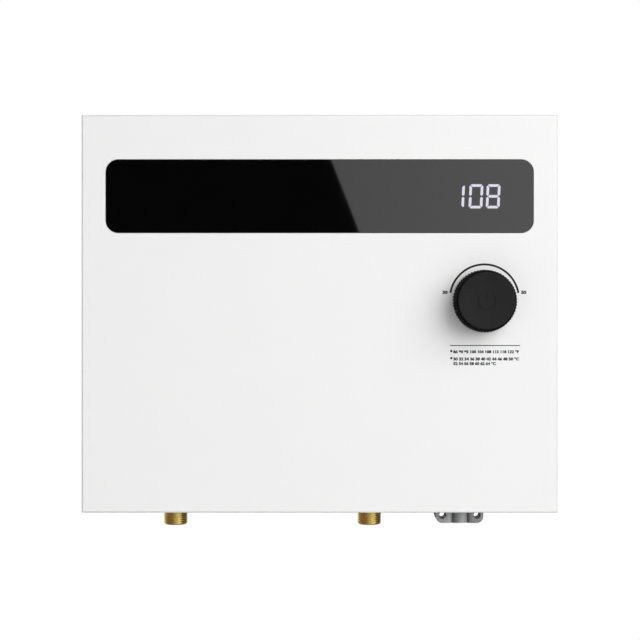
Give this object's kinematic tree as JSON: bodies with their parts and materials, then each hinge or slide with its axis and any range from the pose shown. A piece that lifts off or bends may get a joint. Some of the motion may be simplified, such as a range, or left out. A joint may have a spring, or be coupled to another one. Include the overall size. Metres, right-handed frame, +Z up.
{
  "type": "tankless electric water heater",
  "caption": "Wall-hung tankless electric water heater: flat folded steel case with a display strip, a push knob, threaded water fittings and a cable clamp below.",
  "frame": {"origin": "middle of the case's back, on the wall", "axes": "+Z up, +Y into the wall, so the front faces -Y, and +X to the right as seen from the front"},
  "size_m": [0.42, 0.111, 0.3684],
  "materials": {
    "white_coat": "satin powder coat",
    "zinc_sheet": "galvanised sheet",
    "bright_steel": "zinc plated steel",
    "stainless": "drawn stainless steel",
    "black_lens": "polished black acrylic",
    "seal_rubber": "moulded rubber and foam",
    "knob_black": "fine matt texture",
    "dark_plastic": "moulded",
    "ivory_plastic": "moulded",
    "filled_nylon": "glass-filled nylon",
    "brass_plain": "machined",
    "zinc_cast": "die-cast",
    "sink_aluminium": "extruded",
    "board_green": "solder mask",
    "relay_blue": "moulded",
    "cutout_brown": "moulded phenolic",
    "button_red": "moulded",
    "lead_cover": "silicone sleeve",
    "ribbon_grey": "vinyl ribbon"
  },
  "bodies": {
    "case": {"front_cover": "white_coat", "rear_chassis": "zinc_sheet", "cover_screws": "bright_steel", "cover_nuts": "bright_steel", "display_lens": "black_lens", "lens_tape": "seal_rubber", "digit_display": "ivory_plastic", "control_board": "board_green", "control_pillars": "bright_steel", "control_screws": "bright_steel", "encoder_body": "dark_plastic", "encoder_nut": "bright_steel", "outlet_fitting": "brass_plain", "inlet_fitting": "brass_plain", "fitting_locknuts": "brass_plain", "fitting_seals": "seal_rubber", "inlet_filter": "bright_steel", "lower_manifold": "filled_nylon", "upper_manifold": "filled_nylon", "heating_chamber_1": "stainless", "heating_chamber_2": "stainless", "heating_chamber_3": "stainless", "heating_chamber_4": "stainless", "chamber_seals": "seal_rubber", "heating_element_1": "stainless", "heating_element_2": "stainless", "heating_element_3": "stainless", "heating_element_4": "stainless", "element_gaskets": "seal_rubber", "tie_rods": "bright_steel", "tie_nuts": "bright_steel", "exchanger_brackets": "zinc_sheet", "bracket_screws": "bright_steel", "turbine_cage": "ivory_plastic", "flow_pickup": "dark_plastic", "temperature_probes": "brass_plain", "thermal_cutouts": "cutout_brown", "cable_clamp": "zinc_cast", "clamp_locknut": "bright_steel", "terminal_block": "dark_plastic", "terminal_screws": "brass_plain", "ground_lug": "brass_plain", "power_board": "board_green", "board_standoffs": "bright_steel", "board_screws": "bright_steel", "relays": "relay_blue", "triacs": "dark_plastic", "heat_sink": "sink_aluminium", "line_leads": "lead_cover", "element_leads": "lead_cover", "ribbon_cable": "ribbon_grey"},
    "push": {"encoder_plunger": "ivory_plastic"},
    "knob": {"encoder_shaft": "bright_steel", "knob_core": "knob_black", "knob_grip": "knob_black", "knob_cap": "knob_black"},
    "turbine": {"flow_turbine": "dark_plastic"},
    "reset_1": {"reset_button_1": "button_red"},
    "reset_2": {"reset_button_2": "button_red"}
  },
  "joints": [
    {"name": "knob_press", "type": "slide", "parent": "case", "child": "push", "axis": [0, 1, 0], "range_m": [0, 0.001], "stiffness_N_per_m": 2000, "springref_m": -0.001},
    {"name": "knob_turn", "type": "hinge", "parent": "push", "child": "knob", "pos_m": [0.1448, -0.0955, 0.0111], "axis": [0, 1, 0], "continuous": true},
    {"name": "turbine_spin", "type": "hinge", "parent": "case", "child": "turbine", "pos_m": [0.045, -0.042, -0.1504], "axis": [0, 0, 1], "continuous": true},
    {"name": "reset_1_press", "type": "slide", "parent": "case", "child": "reset_1", "axis": [0, 1, 0], "range_m": [0, 0.0012], "stiffness_N_per_m": 1000, "springref_m": -0.001},
    {"name": "reset_2_press", "type": "slide", "parent": "case", "child": "reset_2", "axis": [0, 1, 0], "range_m": [0, 0.0012], "stiffness_N_per_m": 1000, "springref_m": -0.001}
  ]
}
